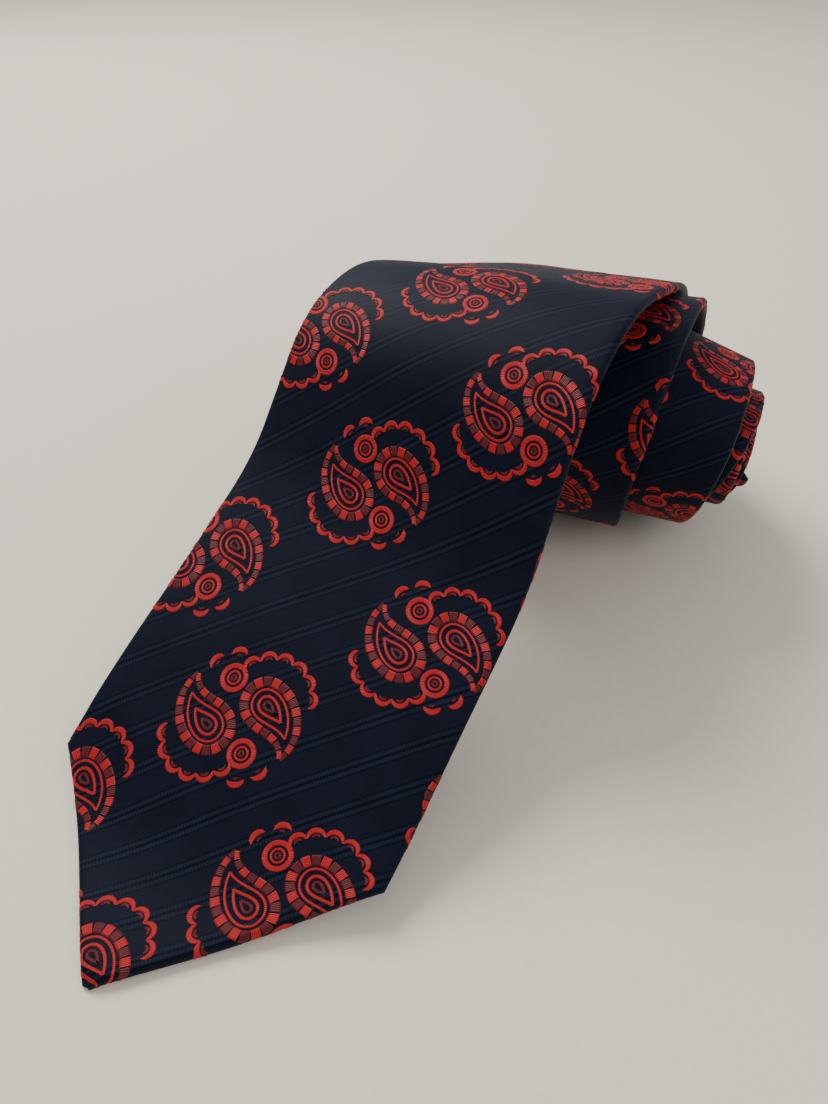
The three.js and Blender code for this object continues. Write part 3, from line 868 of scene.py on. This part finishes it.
def lay_ply(name, first, last, top, thick, finish, node):
    """A ply from first to last along the tie, made and hung on the root body in place of the
    part named node, which is hidden.
    """
    stations = np.linspace(first, last, int((last - first) / PLY_STEP) + 1)
    piece = sheet_piece(name, stations, ply_surface(top), ply_surface(top + thick))
    piece.data.materials.append(finish)
    widths, lengths = 2 * ply_half(stations) * MM, np.diff(stations) * MM
    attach(piece, "root")
    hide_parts(node)


def woven_material(name, colour, weave_spacing, roughness, contrast):
    """A plain weave: two sets of fine threads that cross."""
    material, nodes, links, shader = new_material(name)
    weave = nodes.new("ShaderNodeTexChecker")
    weave.inputs["Scale"].default_value = 1.0 / weave_spacing
    weave.inputs["Color1"].default_value = (*[c * (1 + contrast) for c in colour], 1.0)
    weave.inputs["Color2"].default_value = (*[c * (1 - contrast) for c in colour], 1.0)
    links.new(cloth_map(nodes, "cloth"), weave.inputs["Vector"])
    links.new(weave.outputs["Color"], shader.inputs["Base Color"])
    add_relief(nodes, links, shader, weave.outputs["Fac"], 0.3, 0.0001)
    shader.inputs["Roughness"].default_value = roughness
    return material


BRUSHED_CANVAS = woven_material("brushed_canvas", (0.62, 0.57, 0.47), 0.0009, 0.9, 0.12)
lay_ply("interlining_canvas", PLY_END, TIE_LENGTH - PLY_END, CANVAS_TOP, CANVAS, BRUSHED_CANVAS,
        "interlining")


# ---- Linings ----------------------------------------------------------------------------
# A piece of dark satin behind the canvas at each point, which shows between the two folds.
# It is hand sewn to them along the edges of the opening.
LINING_TOP, LINING = 1.9, 0.3
BLADE_LINING_TO, TAIL_LINING_FROM = 140.0, 1288.0
LINING_SATIN = woven_material("lining_satin", (0.013, 0.017, 0.030), 0.0004, 0.3, 0.10)
LINING_SATIN.node_tree.nodes["Principled BSDF"].inputs["Sheen Weight"].default_value = 0.1
for end, first, last in (("blade", PLY_END, BLADE_LINING_TO),
                         ("tail", TAIL_LINING_FROM, TIE_LENGTH - PLY_END)):
    lay_ply(end + "_satin", first, last, LINING_TOP, LINING, LINING_SATIN, end + "_lining")


# ---- Thread -----------------------------------------------------------------------------
# Navy silk thread: the long slip stitch that closes the back, a bar tack at each end of it,
# the two seams that join the lengths, and hand stitches along both edges of the wide end's
# opening.
def stitch_object():
    """One short stitch, a plump grain of thread one millimetre long."""
    grain = bpy.data.meshes.new("stitch")
    work = bmesh.new()
    bmesh.ops.create_icosphere(work, subdivisions=1, radius=0.5)
    work.to_mesh(grain)
    work.free()
    stitch = bpy.data.objects.new("stitch", grain)
    bpy.context.collection.objects.link(stitch)
    return stitch


def stitch_tree():
    """A straight row of stitches, which is then bent onto the cloth."""
    tree, add, given, result = new_tree("stitch_row", [
        ("Stitch", "NodeSocketObject", None), ("Finish", "NodeSocketMaterial", None),
        ("Count", "NodeSocketInt", 10), ("Step", "NodeSocketVector", None),
        ("Size", "NodeSocketVector", None)])
    row = add("GeometryNodeMeshLine", {"Count": given.outputs["Count"],
                                       "Offset": given.outputs["Step"]})
    stitch = add("GeometryNodeObjectInfo", {"Object": given.outputs["Stitch"]})
    sewn = add("GeometryNodeInstanceOnPoints", {
        "Points": row.outputs[0], "Instance": stitch.outputs["Geometry"],
        "Scale": given.outputs["Size"]})
    real = add("GeometryNodeRealizeInstances", {"Geometry": sewn.outputs[0]})
    finished = add("GeometryNodeSetMaterial", {"Geometry": real.outputs[0],
                                               "Material": given.outputs["Finish"]})
    tree.links.new(finished.outputs[0], result.inputs[0])
    return tree


def thread_material():
    """Twisted thread: fine slanting ribs on object coordinates."""
    material, nodes, links, shader = new_material("navy_thread")
    place_on = nodes.new("ShaderNodeTexCoord")
    twist = nodes.new("ShaderNodeTexWave")
    twist.bands_direction = "DIAGONAL"
    twist.inputs["Scale"].default_value = 900.0
    links.new(place_on.outputs["Object"], twist.inputs["Vector"])
    tint = nodes.new("ShaderNodeValToRGB")
    tint.color_ramp.elements[0].color = (0.012, 0.017, 0.035, 1.0)
    tint.color_ramp.elements[1].color = (0.035, 0.045, 0.085, 1.0)
    links.new(twist.outputs["Fac"], tint.inputs["Fac"])
    links.new(tint.outputs["Color"], shader.inputs["Base Color"])
    shader.inputs["Roughness"].default_value = 0.6
    return material


THREAD = thread_material()
STITCH_ROW = stitch_tree()
one_stitch = stitch_object()


def sew(name, count, step, size, start, slant=None):
    """A row of stitches from start, given as along, across and depth, laid on the tie."""
    piece = grown_mesh(name, STITCH_ROW, {
        "Stitch": one_stitch, "Finish": THREAD, "Count": count, "Step": step, "Size": size})
    flat = mesh_points(piece.data)
    s, t, depth = (flat + np.array(start)).T
    if slant is not None:
        t = t + slant(s)
    piece.data.vertices.foreach_set("co", place(s, t, depth).ravel())
    piece.data.update()
    return piece


def declare_thread(piece, *nodes):
    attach(piece, "root")
    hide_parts(*nodes)


SLIP_PITCH, HAND_PITCH, TACK_PITCH, SEAM_PITCH = 4.0, 3.2, 0.45, 2.0
HAND_STITCHES, TACK_STITCHES = 18, 20
SLIP_CLEAR, TACK_CLEAR, SEAM_CLEAR, HAND_CLEAR = 2, 4, 2.0, 0.5
slip_start = FOLDS_MEET + SLIP_CLEAR
slip_end = TIE_LENGTH - TAIL_FOLDS_MEET - SLIP_CLEAR
slip = sew("back_slip_stitch", int((slip_end - slip_start) / SLIP_PITCH), (SLIP_PITCH, 0, 0),
           size=(2.6, 0.45, 0.3), start=(slip_start + 1.5, 0.0, THICKNESS - 0.25))
declare_thread(slip, "slip_stitch")
for end, tack_at in (("blade", FOLDS_MEET + TACK_CLEAR),
                     ("tail", TIE_LENGTH - TAIL_FOLDS_MEET - TACK_CLEAR)):
    tack = sew(end + "_tack", TACK_STITCHES, (0, TACK_PITCH, 0), size=(1.5, 0.5, 0.4),
               start=(tack_at, -4.3, THICKNESS + 0.3))
    declare_thread(tack, end + "_bar_tack")
for end, seam_at in (("blade", BLADE_JOIN), ("tail", TAIL_JOIN)):
    half_seam = float(half_width(np.array([seam_at]))[0]) - SEAM_CLEAR
    seam = sew(end + "_seam", int(half_seam), (0, SEAM_PITCH, 0), size=(0.3, 1.5, 0.3),
               start=(seam_at, -half_seam, FABRIC * 0.7))
    declare_thread(seam, end + "_join_thread")
for side, side_name in ((-1, "left"), (1, "right")):
    hand = sew("opening_stitches_" + side_name, HAND_STITCHES, (HAND_PITCH, 0, 0),
               size=(1.6, 0.4, 0.3), start=(TIP_LENGTH + 2, 0.0, THICKNESS - 0.1),
               slant=lambda s, side=side: side * (opening(s) + HAND_CLEAR))
    declare_thread(hand, "slip_stitch")
bpy.data.objects.remove(one_stitch)


# ---- Keeper loop ------------------------------------------------------------------------
# A narrow band of the same silk across the back. Its ends are sewn down at the sides and
# its middle stands off far enough for the narrow end to pass through.
LOOP_AT, LOOP_WIDE, LOOP_HALF, LOOP_LIFT, LOOP_THICK = 186.0, 10.0, 21.0, 1.9, 0.5
LOOP_CROWN, OFF_BACK = 0.12, 0.3


def loop_surface(above):
    """One skin of the band, so far above its inner side."""
    def surface(stations):
        shares = np.linspace(-1, 1, 25)
        across = np.tile(shares * LOOP_HALF, (len(stations), 1))
        rise = THICKNESS + OFF_BACK + LOOP_LIFT * (1 - np.abs(shares) ** 4)
        crown = LOOP_CROWN * (1 - ((stations - LOOP_AT) / LOOP_WIDE * 2) ** 2)[:, None]
        return across, rise + crown + above, across
    return surface


loop_stations = LOOP_AT + np.linspace(-LOOP_WIDE / 2, LOOP_WIDE / 2, 9)
loop = sheet_piece("keeper_band", loop_stations, loop_surface(LOOP_THICK), loop_surface(0.0))
loop.data.materials.append(SILK)
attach(loop, "root")
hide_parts("keeper_loop")


# ---- Care label -------------------------------------------------------------------------
# A small blank tape of white woven polyester, sewn flat on the back seam. It says nothing.
LABEL_FROM, LABEL_TO, LABEL_HALF, LABEL_THICK, LABEL_CURL = 200.0, 224.0, 11.0, 0.25, 0.25


def label_surface(above):
    """One skin of the tape, so far above its under side; its two ends curl up a little."""
    def surface(stations):
        across = np.tile(np.linspace(-LABEL_HALF, LABEL_HALF, 13), (len(stations), 1))
        curl = LABEL_CURL * (np.abs(across) / LABEL_HALF) ** 3
        return across, THICKNESS + OFF_BACK + curl + above, across
    return surface


label = sheet_piece("blank_label", np.linspace(LABEL_FROM, LABEL_TO, 13),
                    label_surface(LABEL_THICK), label_surface(0.0))
label.data.materials.append(woven_material("label_tape", (0.72, 0.71, 0.68), 0.0005, 0.6, 0.06))
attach(label, "root")
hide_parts("care_label")
